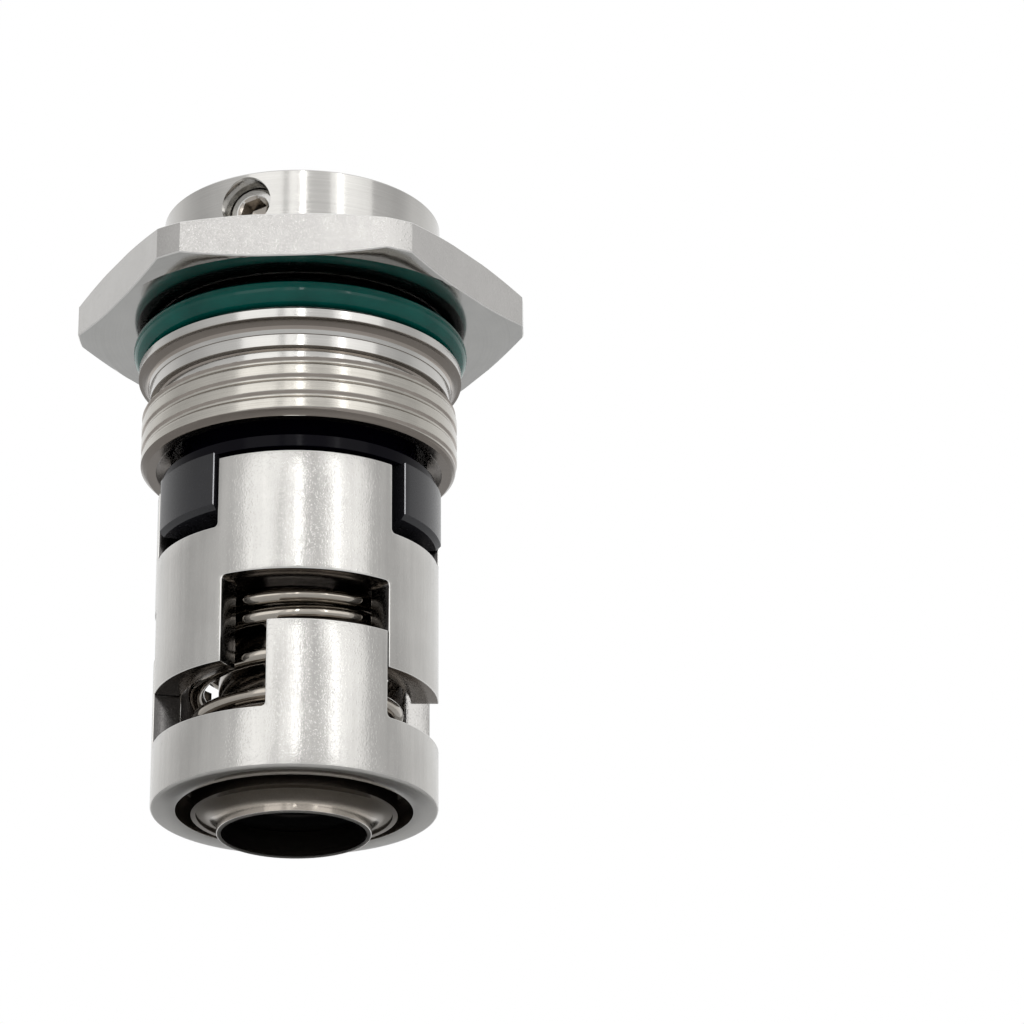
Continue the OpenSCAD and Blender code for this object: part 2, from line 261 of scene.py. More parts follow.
def paint(bm, index, test):
    """Gives a material to the faces that pass a test of their place, r and z in mm, and of how far
    they face out from the axis, up it and around it."""
    bm.normal_update()
    for face in bm.faces:
        middle = face.calc_center_median()
        radial = Vector((middle.x, middle.y, 0)).normalized()
        tangent = Vector((-radial.y, radial.x, 0))
        side = SimpleNamespace(
            r=math.hypot(middle.x, middle.y) / MM, z=middle.z / MM, out=face.normal.dot(radial),
            up=face.normal.z, around=face.normal.dot(tangent))
        if test(side):
            face.material_index = index


def bevel(bm, edges, width, steps, material=-1):
    bmesh.ops.bevel(bm, geom=edges, offset=width * MM, offset_type="OFFSET", segments=steps,
                    profile=0.5, affect="EDGES", clamp_overlap=True, material=material)


def near(a, b):
    return abs(a - b) < 0.01


def edge_ends(edge):
    """The radius and the height of both ends of an edge, in mm."""
    return [(math.hypot(v.co.x, v.co.y) / MM, v.co.z / MM) for v in edge.verts]


def lies_at(edge, r, z):
    """Whether both ends of an edge are at a radius and a height."""
    return all(near(end_r, r) and near(end_z, z) for end_r, end_z in edge_ends(edge))


def rises_at(edge, r):
    """Whether an edge runs along the axis at a radius, for more than 1 mm."""
    (r0, z0), (r1, z1) = edge_ends(edge)
    return near(r0, r) and near(r1, r) and abs(z0 - z1) > 1


def sharp_edges(bm, least=50):
    limit = math.radians(least)
    return [e for e in bm.edges if len(e.link_faces) == 2 and e.calc_face_angle() > limit]


def round_roots(bm, z, radius):
    """Rounds the inner corners where tabs stand on a ring at height z."""
    roots = []
    for edge in sharp_edges(bm):
        (r0, z0), (r1, z1) = edge_ends(edge)
        if near(z0, z) and near(z1, z) and abs(r0 - r1) > 1 and not edge.is_convex:
            roots.append(edge)
    bevel(bm, roots, radius, 4)


def in_span(angle, middle, span):
    """Whether an angle lies in one of a crown's three spans."""
    return abs((angle - middle + 60) % 120 - 60) < span / 2


def crown_edges(middle, span):
    return [middle + side * span / 2 + i * 120 for i in range(3) for side in (-1, 1)]


# Materials

def new_material(name, **constants):
    material = bpy.data.materials.new(name)
    material.use_nodes = True
    shader = material.node_tree.nodes["Principled BSDF"]
    for socket, number in constants.items():
        shader.inputs[socket.replace("_", " ")].default_value = number
    return material, material.node_tree, shader


def add(tree, kind, inputs, **settings):
    """Adds a node, links or sets its inputs in order, and returns its first output."""
    node = tree.nodes.new(kind)
    for key, setting in settings.items():
        setattr(node, key, setting)
    for i, source in enumerate(inputs):
        if isinstance(source, bpy.types.NodeSocket):
            tree.links.new(source, node.inputs[i])
        elif source is not None:
            node.inputs[i].default_value = source
    return node.outputs[0]


def maths(tree, operation, a, b=0.0):
    return add(tree, "ShaderNodeMath", (a, b), operation=operation)


def spread(tree, source, low, high, from_low=0.3, from_high=0.7):
    return add(tree, "ShaderNodeMapRange", (source, from_low, from_high, low, high))


def blend(tree, first, second, share):
    """A mix of two values, with a share of the second."""
    kept = maths(tree, "MULTIPLY", first, 1 - share)
    return maths(tree, "ADD", kept, maths(tree, "MULTIPLY", second, share))


def object_point(tree):
    return tree.nodes.new("ShaderNodeTexCoord").outputs["Object"]


def turned_point(tree, across, along):
    """A point that hardly changes round the axis, so that noise on it draws turning lines."""
    split = tree.nodes.new("ShaderNodeSeparateXYZ")
    tree.links.new(object_point(tree), split.inputs[0])
    x, y, z = split.outputs
    squares = maths(tree, "ADD", maths(tree, "MULTIPLY", x, x), maths(tree, "MULTIPLY", y, y))
    r = maths(tree, "MULTIPLY", maths(tree, "SQRT", squares), across)
    turn = maths(tree, "MULTIPLY", maths(tree, "ARCTAN2", x, y), along)
    return add(tree, "ShaderNodeCombineXYZ", (r, turn, maths(tree, "MULTIPLY", z, across)))


def noise_at(tree, point, scale, detail=2.0, roughness=0.5):
    return add(tree, "ShaderNodeTexNoise", (point, None, scale, detail, roughness))


def drawn_at(tree, point, across, along):
    """Noise in streaks along the axis."""
    stretched = add(tree, "ShaderNodeMapping", (point, None, None, (across, across, along)))
    return noise_at(tree, stretched, 1.0)


def add_bump(tree, height, depth, under=None):
    bump = tree.nodes.new("ShaderNodeBump")
    bump.inputs["Strength"].default_value = 1.0
    bump.inputs["Distance"].default_value = depth * MM
    tree.links.new(height, bump.inputs["Height"])
    if under is not None:
        tree.links.new(under, bump.inputs["Normal"])
    return bump.outputs["Normal"]


def tint(tree, factor, tone, vary):
    ramp = tree.nodes.new("ShaderNodeValToRGB")
    stops = ((0.3, 1 - vary), (0.7, 1 + vary))
    for element, (position, scale) in zip(ramp.color_ramp.elements, stops):
        element.position = position
        element.color = (*(c * scale for c in tone), 1)
    tree.links.new(factor, ramp.inputs[0])
    return ramp.outputs[0]


def steel(name, tone, rough, lines=0.0, grain=0.0, streaks=0.0, pits=0.0, vary=0.08):
    """Stainless steel. lines, grain, streaks and pits are the depths in mm of turning lines, fine
    grain, streaks along the axis and the scattered pits of blasting."""
    material, tree, shader = new_material(name, Metallic=1.0)
    point = object_point(tree)
    cloud = noise_at(tree, point, 240, 4, 0.6)
    fine = noise_at(tree, point, 4600, 3, 0.6)
    turned = noise_at(tree, turned_point(tree, 6500, 0.5), 1.0, 3, 0.6)
    bands = drawn_at(tree, point, 1000, 60)
    marks = fine
    if lines:
        marks = turned
    elif streaks:
        marks = bands
    shade = blend(tree, cloud, marks, 0.55)
    tree.links.new(tint(tree, shade, tone, vary), shader.inputs["Base Color"])
    gloss = blend(tree, marks, fine, 0.5)
    tree.links.new(spread(tree, gloss, *rough), shader.inputs["Roughness"])
    normal = None
    swell = noise_at(tree, point, 620, 2, 0.5)
    pitted = spread(tree, noise_at(tree, point, 4400, 1, 0.5), 0.0, 1.0, 0.56, 0.69)
    streaked = drawn_at(tree, point, 3600, 130)
    swell_depth = pits * 2.2
    reliefs = ((turned, lines), (streaked, streaks), (fine, grain), (swell, swell_depth),
               (pitted, pits))
    for height, depth in reliefs:
        if depth:
            normal = add_bump(tree, height, depth, normal)
    tree.links.new(normal, shader.inputs["Normal"])
    return material


def polymer(name, tone, rough, specular, grain, vary=0.2):
    material, tree, shader = new_material(name, Specular_IOR_Level=specular)
    point = object_point(tree)
    cloud = noise_at(tree, point, 180, 3, 0.55)
    fine = noise_at(tree, point, 2600, 3, 0.6)
    tree.links.new(tint(tree, cloud, tone, vary), shader.inputs["Base Color"])
    tree.links.new(spread(tree, fine, *rough), shader.inputs["Roughness"])
    tree.links.new(add_bump(tree, fine, grain), shader.inputs["Normal"])
    return material


TURNED = steel("turned_steel", (0.49, 0.48, 0.46), (0.10, 0.18), lines=0.0014, grain=0.0014)
THREADED = steel("threaded_steel", (0.46, 0.44, 0.40), (0.12, 0.22), lines=0.0045, grain=0.0020,
                 vary=0.16)
FACED = steel("faced_steel", (0.46, 0.455, 0.44), (0.09, 0.15), lines=0.0005, grain=0.0006)
BLASTED = steel("blasted_steel", (0.49, 0.48, 0.46), (0.12, 0.21), grain=0.0100, streaks=0.0030,
                pits=0.0066)
MILLED = steel("milled_steel", (0.46, 0.45, 0.435), (0.12, 0.22), grain=0.0100, pits=0.0070)
# A darker, browner steel for the carrier's faces that face down: painted shade.
MID_SHADE_STEEL = steel("painted_mid_shade_steel", (0.32, 0.285, 0.255), (0.13, 0.22), lines=0.0016, grain=0.0014)
# A still darker steel for inner faces, bores and the faces that face most steeply down: painted
# shade.
DEEP_SHADE_STEEL = steel("painted_deep_shade_steel", (0.19, 0.168, 0.148), (0.16, 0.26), lines=0.0003, grain=0.0002)
# A near-black steel for the side faces in the windows: painted shade.
SIDE_SHADE_STEEL = steel("painted_side_shade_steel", (0.085, 0.082, 0.080), (0.12, 0.24), grain=0.0030)
BURNISHED = steel("burnished_edge", (0.66, 0.65, 0.63), (0.12, 0.20), grain=0.0020)
SLEEVE = steel("sleeve_steel", (0.36, 0.33, 0.30), (0.10, 0.18), lines=0.0010, grain=0.0008)
DRAWN = steel("drawn_steel", (0.33, 0.298, 0.26), (0.10, 0.20), grain=0.0036, vary=0.14)
WIRE = steel("spring_wire", (0.38, 0.35, 0.31), (0.06, 0.13), grain=0.0012)
SCREW = steel("screw_steel", (0.42, 0.385, 0.345), (0.14, 0.24), lines=0.0010, grain=0.0030)
GREEN = polymer("green_elastomer", (0.001, 0.068, 0.055), (0.04, 0.09), 0.22, 0.0020)
# A near-black rubber for the O-ring's top and inner side, under the flange: painted shade.
SHADE_RUBBER = polymer("painted_shade_elastomer", (0.0002, 0.004, 0.0035), (0.10, 0.18), 0.1, 0.003)
BLACK = polymer("black_elastomer", (0.012, 0.012, 0.013), (0.28, 0.45), 0.4, 0.012)
CERAMIC = polymer("seal_face", (0.010, 0.010, 0.012), (0.20, 0.28), 0.42, 0.0012)
# A near-black face with a blue-purple tint for the seal ring's flange, nose and hub: painted shade
# with a painted sheen.
SHADE_SHEEN_FACE = polymer("painted_shade_sheen_face", (0.0010, 0.0007, 0.0026), (0.10, 0.18), 0.07, 0.0008)
LAPPED = steel("lapped_edge", (0.30, 0.30, 0.31), (0.12, 0.20), grain=0.0006)


# Pieces

def hex_r(inset=0.0):
    """The radius of the hex outline with its turned corners, as a function of the angle."""
    def at(angle):
        off = math.radians((angle - HEX_ANGLE + 30) % 60 - 30)
        return min(HEX_AF / 2 / math.cos(off), HEX_CORNER_R) - inset
    return at


def hex_drop(angle):
    """How far the corners' chamfer lies off the flat face at the outline."""
    slope = HEX_CHAMFER / (HEX_CORNER_R - HEX_FLAT_R)
    return max(0.0, hex_r()(angle) - HEX_FLAT_R) * slope


def flat_edge(inset):
    """The outer edge of the flange's flat faces, as a function of the angle."""
    rim = 0.3

    def at(angle):
        return min(HEX_FLAT_R, hex_r(rim)(angle)) - inset
    return at


def hex_burr(angle):
    """How far the milled flats' lower edge is ragged, in mm."""
    depth = 0.017
    return depth * (math.sin(angle * 2.31) + math.sin(angle * 5.17) * math.sin(angle * 0.83))


def thread_r(z):
    """The crest, with rounded grooves that climb to the right, and a run-out above it."""
    first_groove, groove_half, groove_depth = -12.43, 0.56, 0.24
    runout_drop, runout_slope, runout_depth = 0.25, 5, 1.3

    def at(angle):
        climb = ((angle + 180) % 360 - 180) / 360 * THREAD_PITCH
        phase = (z - first_groove - climb) / THREAD_PITCH
        off = abs(phase - round(phase)) * THREAD_PITCH
        groove = groove_depth * (0.5 + 0.5 * math.cos(math.pi * min(1.0, off / groove_half)))
        crest = THREAD_R - groove - max(0.0, SKIRT_Z - z)
        above = z - (THREAD_Z - runout_drop + climb)
        return crest - min(runout_depth, max(0.0, above * runout_slope))
    return at


def flange_profile():
    """The flange from its bore over the top to the neck, with rings close inside the edges of
    its flat faces to keep their shading flat."""
    support, bore_chamfer = 0.1, 0.2
    return [(CARRIER_BORE_R, HEX_H - bore_chamfer), (CARRIER_BORE_R + bore_chamfer, HEX_H),
            (flat_edge(support), HEX_H), (flat_edge(0), HEX_H),
            (hex_r(EDGE), lambda a: HEX_H - hex_drop(a)),
            (hex_r(), lambda a: HEX_H - hex_drop(a) - EDGE),
            (hex_r(), lambda a: hex_drop(a) + EDGE + hex_burr(a)), (hex_r(EDGE), hex_drop),
            (flat_edge(0), 0.0), (flat_edge(support), 0.0), (NECK_R + 3 * support, 0.0)]


def neck_profile():
    """The O-ring's groove, the land, a rounded hollow, the narrow band and the undercut."""
    root, blunt, fillet = 0.1, 0.08, 0.15
    foot_r, foot_z = BAND_R + 0.1, BAND_Z + 0.05
    groove = [(NECK_R, 0.0), (NECK_R, GROOVE_Z + root), (NECK_R + root, GROOVE_Z)]
    land = [(LAND_R - EDGE, GROOVE_Z), (LAND_R, GROOVE_Z - EDGE), (LAND_R, LAND_Z + root),
            (LAND_R - blunt, LAND_Z)]
    hollow = [(foot_r + (LAND_R - foot_r) * (1 - math.sin(b)),
               foot_z + (LAND_Z - foot_z) * math.cos(b))
              for b in (math.radians(18 * k) for k in range(6))]
    band = [(BAND_R + blunt, BAND_Z), (BAND_R, BAND_Z - blunt), (BAND_R, BAND_END_Z + blunt),
            (BAND_R - blunt, BAND_END_Z)]
    undercut = [(UNDERCUT_R + fillet, BAND_END_Z - 0.05), (UNDERCUT_R, BAND_END_Z - 0.25),
                (UNDERCUT_R, THREAD_Z + 0.4), (UNDERCUT_R + fillet, THREAD_Z + 0.1)]
    return groove + land + hollow + band + undercut


def thread_profile():
    rows = 170
    height = CARRIER_Z + 0.06 - THREAD_Z
    return [(thread_r(z), z) for z in (THREAD_Z + height * k / rows for k in range(rows + 1))]


def bore_profile():
    """The end of the skirt, its mouth and the stepped bore."""
    return [(SKIRT_END_R, CARRIER_Z), (MOUTH_R + 0.2, CARRIER_Z), (MOUTH_R, CARRIER_Z + 0.1),
            (CHAMBER_R, CARRIER_Z + MOUTH_R - CHAMBER_R), (CHAMBER_R, SEAT_GROOVE_Z),
            (SEAT_BORE_R, SEAT_GROOVE_Z), (SEAT_BORE_R, SEAT_TOP_Z), (CARRIER_BORE_R, SEAT_TOP_Z)]


def build_carrier():
    """The hex flange, the grooved neck and the threaded skirt in one turned piece."""
    half = math.degrees(math.acos(HEX_AF / 2 / HEX_CORNER_R))
    corners = [HEX_ANGLE + 60 * i + side * half for i in range(6) for side in (-1, 1)]
    rings = flange_profile() + neck_profile() + thread_profile() + bore_profile()
    bm = bmesh.new()
    lathe(bm, rings, even_angles(330, corners))
    finishes = [TURNED, MILLED, BURNISHED, FACED, MID_SHADE_STEEL, DEEP_SHADE_STEEL, THREADED]
    milled, burnished, faced, mid_shade, deep_shade, threaded = range(1, len(finishes))

    def on_hex(f):
        return f.r > 22

    def below_groove(f):
        return 15 < f.r < 18.6 and f.z < -4.3

    paint(bm, milled, lambda f: on_hex(f) and f.z > 0 and abs(f.up) < 0.3)
    paint(bm, burnished, lambda f: on_hex(f) and 0.4 < abs(f.up) < 0.9)
    paint(bm, faced, lambda f: f.r > NECK_R and f.up < -0.9 and f.z > -1)
    paint(bm, threaded, lambda f: f.r > 15 and f.z < THREAD_Z)
    # Faces of the neck and skirt that face down, and the bore, get darker steels: painted shade.
    paint(bm, mid_shade, lambda f: below_groove(f) and f.up < -0.4)
    paint(bm, deep_shade, lambda f: below_groove(f) and f.up < -0.66)
    paint(bm, deep_shade, lambda f: f.r > 15 and f.z < SKIRT_Z and f.up < -0.3)
    paint(bm, deep_shade, lambda f: f.out < -0.3)
    piece = make_object("carrier_turned", bm, finishes, "carrier", 19)
    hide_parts("seal_carrier")


def inner_face(f):
    """Whether a face of the cage or the driver is any but its outer face."""
    return f.out < 0.9 or f.r < CAGE_R - 0.5


def build_cage():
    def filled(r, z, angle):
        if r < CAGE_IN_R:
            return WEB_Z < z < WEB_TOP_Z
        if z > NOTCH_Z:
            return in_span(angle, CAGE_TAB_ANGLE, CAGE_TAB_SPAN)
        if z < SLOT_Z:
            return in_span(angle, CAGE_ANGLE + 60, LEG_SPAN)
        return True

    edges = crown_edges(CAGE_TAB_ANGLE, CAGE_TAB_SPAN) + crown_edges(CAGE_ANGLE, SLOT_SPAN)
    heights = [LEG_Z, (LEG_Z + SLOT_Z) / 2, SLOT_Z, WEB_Z, WEB_TOP_Z, NOTCH_Z,
               (NOTCH_Z + CAGE_TOP_Z) / 2, CAGE_TOP_Z]
    bm = polar_solid([WEB_BORE_R, CAGE_IN_R, CAGE_R], heights, crown_angles(edges), filled)
    round_roots(bm, NOTCH_Z, ROOT_R)
    round_roots(bm, SLOT_Z, ROOT_R)
    finishes = [BLASTED, DEEP_SHADE_STEEL, BURNISHED, SIDE_SHADE_STEEL]
    deep_shade, burnished, side_shade = range(1, len(finishes))
    # Inner faces and the side faces of the windows get darker steels: painted shade.
    paint(bm, deep_shade, inner_face)
    paint(bm, side_shade, lambda f: abs(f.around) > 0.9)
    bevel(bm, sharp_edges(bm), EDGE, 2, material=burnished)
    piece = make_object("cage_blasted", bm, finishes, "seal_head", 40)
    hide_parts("drive_cage")


def build_driver():
    def filled(r, z, angle):
        if z > RIM_Z:
            return r > CAGE_IN_R and in_span(angle, DRIVER_ANGLE, DRIVER_TAB_SPAN)
        if z < RIM_Z - DRIVER_WEB_H:
            return r > DRIVER_SKIRT_R
        return True

    angles = crown_angles(crown_edges(DRIVER_ANGLE, DRIVER_TAB_SPAN))
    heights = [DRIVER_Z, RIM_Z - DRIVER_WEB_H, RIM_Z, (RIM_Z + DRIVER_TAB_Z) / 2, DRIVER_TAB_Z]
    bm = polar_solid([DRIVER_BORE_R, CAGE_IN_R, DRIVER_SKIRT_R, CAGE_R], heights, angles, filled)
    round_roots(bm, RIM_Z, ROOT_R)
    finishes = [BLASTED, DEEP_SHADE_STEEL, BURNISHED, TURNED, SIDE_SHADE_STEEL, MILLED]
    deep_shade, burnished, turned, side_shade, milled = range(1, len(finishes))
    # Inner faces and one side of each tab get darker steels, the other side a light one: painted
    # shade.
    paint(bm, deep_shade, inner_face)
    paint(bm, side_shade, lambda f: f.around > 0.9)
    paint(bm, milled, lambda f: f.around < -0.9)
    paint(bm, turned, lambda f: f.z < DRIVER_Z + 0.01 and f.r > DRIVER_SKIRT_R)
    rim_bevel = 0.35
    bevel(bm, [e for e in sharp_edges(bm) if lies_at(e, CAGE_R, DRIVER_Z)], rim_bevel, 4)
    bevel(bm, sharp_edges(bm), EDGE, 2, material=burnished)
    piece = make_object("driver_blasted", bm, finishes, "rotor", 40)
    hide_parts("driver_ring")


def build_seal_ring():
    """The nose, the flange and the hub of the seal ring, with its three driving lugs."""
    foot_z, face_z = span_z("seal_ring")
    nose_z = face_z - 0.8
    flange_top_z = face_z - 5.7
    flange_z = flange_top_z - 1.3
    lug_z = flange_z - 6.65
    groove_z = foot_z + 2.6
    bore_r, relief_r, groove_r, hub_r = 9.0, 10.2, 11.2, 12.4
    root_r, nose_r, flange_r = 12.55, 13.4, 15.65

    def filled(r, z, angle):
        if z > nose_z:
            return relief_r < r < hub_r
        if z > flange_top_z:
            return r < nose_r
        if z > flange_z:
            return r < flange_r
        if z > lug_z and in_span(angle, LUG_ANGLE, LUG_SPAN):
            return True
        if z > lug_z:
            return r < root_r
        return r < hub_r and (r > groove_r or z > groove_z)

    angles = crown_angles(crown_edges(LUG_ANGLE, LUG_SPAN))
    radii = [bore_r, relief_r, groove_r, hub_r, root_r, nose_r, flange_r, LUG_R]
    heights = [foot_z, groove_z, lug_z, flange_z, flange_top_z, nose_z, face_z]
    bm = polar_solid(radii, heights, angles, filled)
    finishes = [CERAMIC, LAPPED, SHADE_SHEEN_FACE]
    lapped, shade_sheen = range(1, len(finishes))
    bevel(bm, [e for e in bm.edges if lies_at(e, LUG_R, lug_z)], LUG_CHAMFER, 1)
    bevel(bm, [e for e in sharp_edges(bm) if rises_at(e, LUG_R)], EDGE, 3, material=lapped)
    fine_edge = 0.07
    bevel(bm, sharp_edges(bm, 35), fine_edge, 2)
    # The flange, nose and the faces near the hub get a near-black tinted face: painted shade with
    # a painted sheen.
    paint(bm, shade_sheen, lambda f: f.z > flange_z - 0.05 or f.r < root_r + 0.2)
    piece = make_object("seal_ring_ground", bm, finishes, "seal_head", 40)
    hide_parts("seal_ring")


def wire_z(u):
    """The height of the wire's middle after u turns, with an eased change of pitch."""
    closed_pitch, ease, clear = 2.0, 0.3, 0.05
    closed = closed_pitch * (LOW_TURNS + HIGH_TURNS)
    open_pitch = (SPRING_LEN - 2 * WIRE_R - 2 * clear - closed) / OPEN_TURNS

    def eased(v):
        if v < -ease / 2:
            return 0.0
        return v if v > ease / 2 else (v + ease / 2) ** 2 / (2 * ease)

    opened = eased(u - LOW_TURNS) - eased(u - LOW_TURNS - OPEN_TURNS)
    return RIM_Z + clear + WIRE_R + closed_pitch * u + (open_pitch - closed_pitch) * opened


def build_spring():
    """The coil, closed at both ends, with the same course as its solid."""
    turns = LOW_TURNS + OPEN_TURNS + HIGH_TURNS
    steps, sides = round(turns * 96), 20
    around = [math.tau * j / sides for j in range(sides)]
    bm = bmesh.new()
    rings = []
    for i in range(steps + 1):
        u = turns * i / steps
        angle = 180 + 360 * (u - turns)
        rings.append([bm.verts.new(place(SPRING_R + WIRE_R * math.cos(b), angle,
                                         wire_z(u) + WIRE_R * math.sin(b))) for b in around])
    for row, following in zip(rings, rings[1:]):
        for j in range(sides):
            k = (j + 1) % sides
            bm.faces.new((row[j], row[k], following[k], following[j]))
    bm.faces.new(rings[0][::-1])
    bm.faces.new(rings[-1])
    bmesh.ops.recalc_face_normals(bm, faces=bm.faces)
    piece = make_object("spring_coil", bm, [WIRE], "seal_head", 60)
    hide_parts("spring")
    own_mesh(piece)


def build_o_ring():
    low, high = span_z("carrier_o_ring")
    cord = (high - low) / 2
    middle = reach("carrier_o_ring") - cord
    rings = [(middle + cord * math.cos(b), (low + high) / 2 + cord * math.sin(b))
             for b in (math.tau * k / 40 for k in range(40))]
    bm = bmesh.new()
    lathe(bm, rings, even_angles(240))
    # The O-ring's top and inner side get a near-black rubber: painted shade under the flange.
    paint(bm, 1, lambda f: f.up > 0.55 or f.out < -0.3)
    piece = make_object("flange_o_ring", bm, [GREEN, SHADE_RUBBER], "carrier", 60)
    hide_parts("carrier_o_ring")


def build_bush():
    """The end bush: a thin disc, a trumpet curve and a tube with a rounded rim."""
    bush_z, top_z = span_z("end_bush")
    bore_r, tube_r, curve, disc_r = 8.0, 8.55, 1.7, 10.8
    disc_z = top_z - 0.5
    rim_r, rim_half, rim_h = tube_r - 0.28, 0.27, 0.2
    rim = [(rim_r + rim_half * math.cos(b), bush_z + rim_h + rim_h * math.sin(b))
           for b in (math.radians(-180 + 18 * k) for k in range(11))]
    trumpet = [(tube_r + curve + curve * math.cos(b), disc_z - curve + curve * math.sin(b))
               for b in (math.radians(180 - 6 * k) for k in range(16))]
    rings = [(bore_r, top_z)] + rim + trumpet + [(disc_r, disc_z), (disc_r, top_z)]
    bm = bmesh.new()
    lathe(bm, rings, even_angles(144))
    finishes = [DRAWN, BURNISHED, DEEP_SHADE_STEEL]
    burnished, deep_shade = range(1, len(finishes))
    paint(bm, burnished, lambda f: f.r < tube_r + 0.01 and f.z < bush_z + 0.25)
    # The bore gets a darker steel: painted shade.
    paint(bm, deep_shade, lambda f: f.out < -0.9)
    piece = make_object("end_bush_drawn", bm, finishes, "rotor", 40)
    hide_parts("end_bush")


def screw_profile(length):
    """A set screw along Z from its tip, with a thread and a countersunk hex socket."""
    body_r, socket_r, socket_h, tip, end = 2.95, 1.5, 2.5, 0.8, 0.4
    pitch, thread_depth, step = 1.0, 0.45, 0.1

    def thread(z):
        def at(angle):
            phase = (z / pitch + angle / 360) % 1
            return body_r - thread_depth * abs(2 * phase - 1)
        return at

    def socket(angle):
        off = math.radians((angle + 30) % 60 - 30)
        return socket_r / math.cos(off)

    rows = int((length - 0.5 - tip) / step) + 1
    flank = [(thread(z), z) for z in (tip + step * k for k in range(rows))]
    point = [(0.02, 0.0), (body_r - tip, 0.0), (body_r - thread_depth, tip - 0.1)]
    face = [(body_r - 0.02, length - end), (body_r - 0.42, length), (2.0, length),
            (1.9, length - 0.07)]
    hole = [(socket, length - 0.25), (socket, length - socket_h), (1.2, length - socket_h - 0.2),
            (0.02, length - socket_h - 0.35)]
    return point + flank + face + hole


def screw_place(angle):
    """The turn and place that lay a screw out along the radius at an angle."""
    ahead = place(1, angle, 0).normalized()
    side = Vector((0, 0, 1)).cross(ahead)
    turn = Matrix((side, ahead.cross(side), ahead)).transposed()
    return Matrix.Translation(place(SCREW_FOOT_R, angle, SCREW_Z)) @ turn.to_4x4()


def build_screws():
    """The three set screws, each with its socket turned to another angle."""
    length = 5.0
    first_turn, turn_step = 12, 31
    rings = screw_profile(length)
    corners = [30 + 60 * i for i in range(6)]
    for i in range(3):
        bm = bmesh.new()
        lathe(bm, rings, even_angles(96, corners), capped=True)
        paint(bm, 1, lambda f: f.z > length - 0.45 and f.r > 1.8)
        spin = Matrix.Rotation(math.radians(first_turn + turn_step * i), 4, "Z")
        where = screw_place(SCREW_ANGLE + 120 * i)
        bmesh.ops.transform(bm, matrix=where @ spin, verts=bm.verts)
        bmesh.ops.recalc_face_normals(bm, faces=bm.faces)
        name = "set_screw_%d" % (i + 1)
        piece = make_object(name + "_socket", bm, [SCREW, BURNISHED], "screw_%d" % (i + 1), 30)
        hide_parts(name)


def dress_frame():
    """Materials for the solids that the scene keeps as they are."""
    finishes = {"lock_collar": TURNED, "shaft_sleeve": SLEEVE, "stationary_seat": CERAMIC,
                "seat_o_ring": GREEN, "seal_ring_o_ring": BLACK, "shaft_o_ring": BLACK}
    for node, material in finishes.items():
        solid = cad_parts[node]
        for slot in solid.material_slots:
            slot.material = material


# Stage

def ray(tree, *kinds):
    """One where the ray is of one of these kinds."""
    path = tree.nodes.new("ShaderNodeLightPath")
    out = path.outputs[kinds[0]]
    for kind in kinds[1:]:
        out = maths(tree, "MAXIMUM", out, path.outputs[kind])
    return out


def build_floor():
    """A pale floor that shows from above only, because the camera looks up from below it."""
    half, gap = 2.0, 0.0002
    z = CAD_BOX[0][2] - gap
    corners = [(-half, -half, z), (half, -half, z), (half, half, z), (-half, half, z)]
    mesh = bpy.data.meshes.new("floor")
    mesh.from_pydata(corners, [], [(0, 1, 2, 3)])
    floor = bpy.data.objects.new("floor", mesh)
    bpy.context.scene.collection.objects.link(floor)
    material, tree, shader = new_material("floor_paint", Roughness=0.9)
    shader.inputs["Base Color"].default_value = (0.86, 0.86, 0.86, 1)
    below = tree.nodes.new("ShaderNodeNewGeometry").outputs["Backfacing"]
    clear = tree.nodes.new("ShaderNodeBsdfTransparent").outputs[0]
    hidden = maths(tree, "MAXIMUM", below, ray(tree, "Is Shadow Ray"))
    mixed = add(tree, "ShaderNodeMixShader", (hidden, shader.outputs[0], clear))
    tree.links.new(mixed, tree.nodes["Material Output"].inputs["Surface"])
    mesh.materials.append(material)


# Brightness of the backdrop round the object, by angle from -Y towards +X
BACKDROP = ((-180, 1.0), (-137, 1.0), (-94, 0.66), (-61, 0.85), (-30, 1.0), (36, 1.0),
            (65, 0.8), (86, 0.7), (108, 0.9), (137, 1.0), (180, 1.0))
ROOM_COLOUR = (0.98, 0.99, 1.0, 1)
ROOM_LEVEL = 0.62

# Name, azimuth and elevation in degrees, distance, width and height in metres, and radiance
LAMPS = (("soft_left", -31, 24, 0.9, 0.42, 0.72, 0.72),
         ("strip_middle", -8, 24, 0.9, 0.10, 0.72, 0.8),
         ("strip_narrow", 0, 24, 0.9, 0.04, 0.5, 5.0),
         ("soft_right", 41, 24, 0.9, 0.52, 0.72, 0.66),
         ("strip_right", 31, 24, 0.9, 0.04, 0.5, 3.0),
         ("overhead", 0, 80, 1.2, 1.0, 1.0, 0.5))

# The photograph's viewpoint, in degrees and millimetres
CAMERA_YAW = 3.2495
CAMERA_PITCH = 22.2676
CAMERA_ROLL = -0.4222
CAMERA_PLACE = (0, -427.4, -196.1)
CAMERA_LENS = 142.88


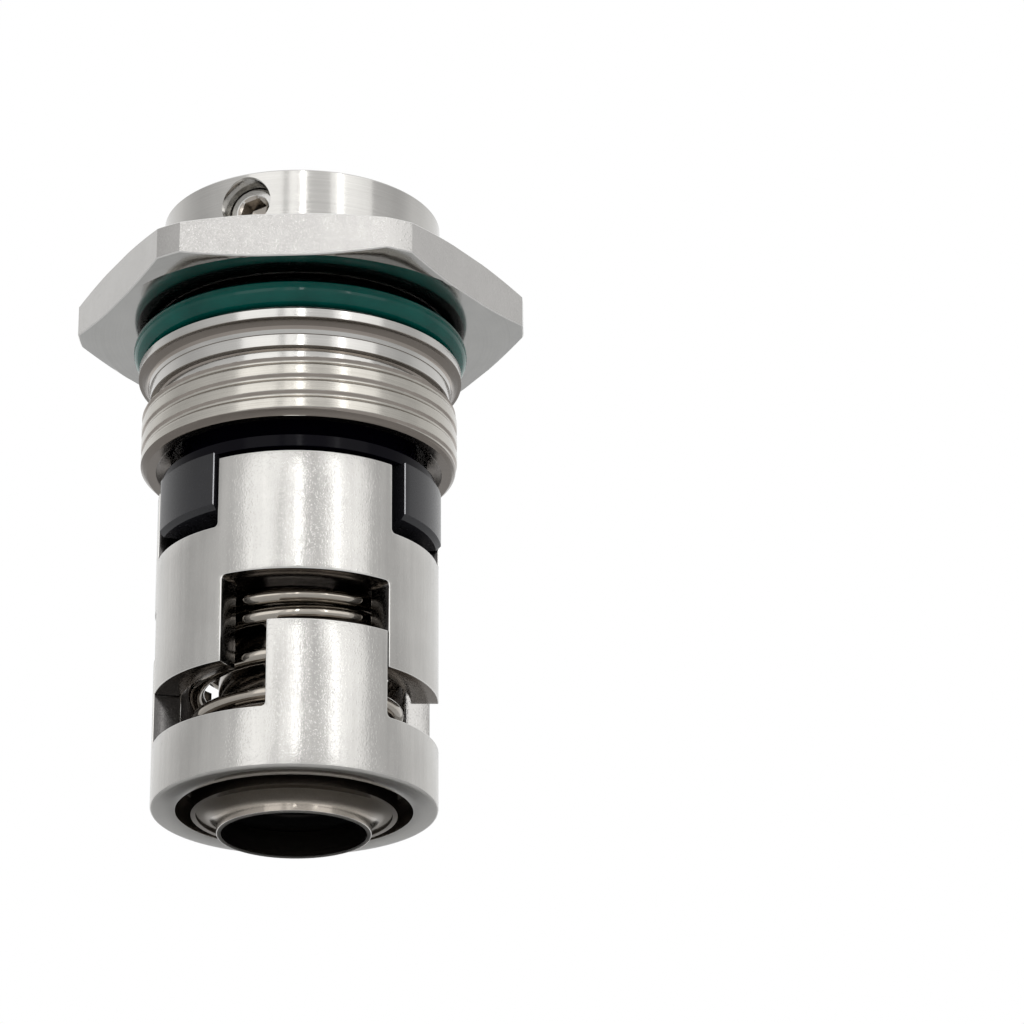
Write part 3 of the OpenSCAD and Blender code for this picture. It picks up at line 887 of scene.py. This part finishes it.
def build_world():
    """A backdrop that the camera and mirror-like surfaces see, and a plain room that lights."""
    world = bpy.data.worlds.new("studio")
    bpy.context.scene.world = world
    world.use_nodes = True
    tree = world.node_tree
    split = tree.nodes.new("ShaderNodeSeparateXYZ")
    tree.links.new(tree.nodes.new("ShaderNodeTexCoord").outputs["Generated"], split.inputs[0])
    x, y, z = split.outputs
    turn = maths(tree, "ARCTAN2", x, maths(tree, "MULTIPLY", y, -1.0))
    ramp = tree.nodes.new("ShaderNodeValToRGB")
    ramp.color_ramp.interpolation = "EASE"
    elements = ramp.color_ramp.elements
    for angle, level in BACKDROP[1:-1]:
        elements.new((angle + 180) / 360).color = (level, level, level, 1)
    for element, (angle, level) in zip((elements[0], elements[-1]), (BACKDROP[0], BACKDROP[-1])):
        element.color = (level, level, level, 1)
    tree.links.new(spread(tree, turn, 0.0, 1.0, -math.pi, math.pi), ramp.inputs[0])
    overhead = spread(tree, z, 0.0, 1.0, 0.6, 0.95)
    level = maths(tree, "MAXIMUM", ramp.outputs[0], overhead)
    backdrop = add(tree, "ShaderNodeBackground", (level, 1.0))
    room = add(tree, "ShaderNodeBackground", (ROOM_COLOUR, ROOM_LEVEL))
    seen = ray(tree, "Is Camera Ray", "Is Glossy Ray", "Is Transmission Ray")
    mixed = add(tree, "ShaderNodeMixShader", (seen, room, backdrop))
    tree.links.new(mixed, tree.nodes["World Output"].inputs["Surface"])


def soft_box(name, azimuth, elevation, distance, width, height, radiance):
    """An area light at a direction from -Y towards +X, aimed at the middle of the object."""
    a, e = math.radians(azimuth), math.radians(elevation)
    target = Vector((0, 0, -0.02))
    away = Vector((math.sin(a) * math.cos(e), -math.cos(a) * math.cos(e), math.sin(e)))
    light = bpy.data.lights.new(name, "AREA")
    light.shape = "RECTANGLE"
    light.size = width
    light.size_y = height
    light.energy = radiance * math.pi * width * height
    lamp = bpy.data.objects.new(name, light)
    lamp.location = target + away * distance
    lamp.rotation_euler = away.to_track_quat("Z", "Y").to_euler()
    lamp.visible_camera = False
    bpy.context.scene.collection.objects.link(lamp)


def build_lights():
    for lamp in LAMPS:
        soft_box(*lamp)


def build_camera():
    """The photograph's viewpoint: below the part, looking up at the side that faces -Y."""
    yaw, pitch, roll = (math.radians(a) for a in (CAMERA_YAW, CAMERA_PITCH, CAMERA_ROLL))
    ahead = Vector((math.sin(yaw) * math.cos(pitch), math.cos(yaw) * math.cos(pitch),
                    math.sin(pitch)))
    data = bpy.data.cameras.new("camera")
    data.sensor_width = 36.0
    data.lens = CAMERA_LENS
    data.clip_start = 0.01
    data.clip_end = 20
    camera = bpy.data.objects.new("camera", data)
    camera.location = Vector(CAMERA_PLACE) * MM
    turn = ahead.to_track_quat("-Z", "Y").to_matrix()
    camera.rotation_euler = (turn @ Matrix.Rotation(roll, 3, "Z")).to_euler()
    bpy.context.scene.collection.objects.link(camera)
    bpy.context.scene.camera = camera
    bpy.context.scene.view_settings.view_transform = "Standard"


build_carrier()
build_cage()
build_driver()
build_seal_ring()
build_spring()
build_o_ring()
build_bush()
build_screws()
dress_frame()
build_floor()
build_world()
build_lights()
build_camera()
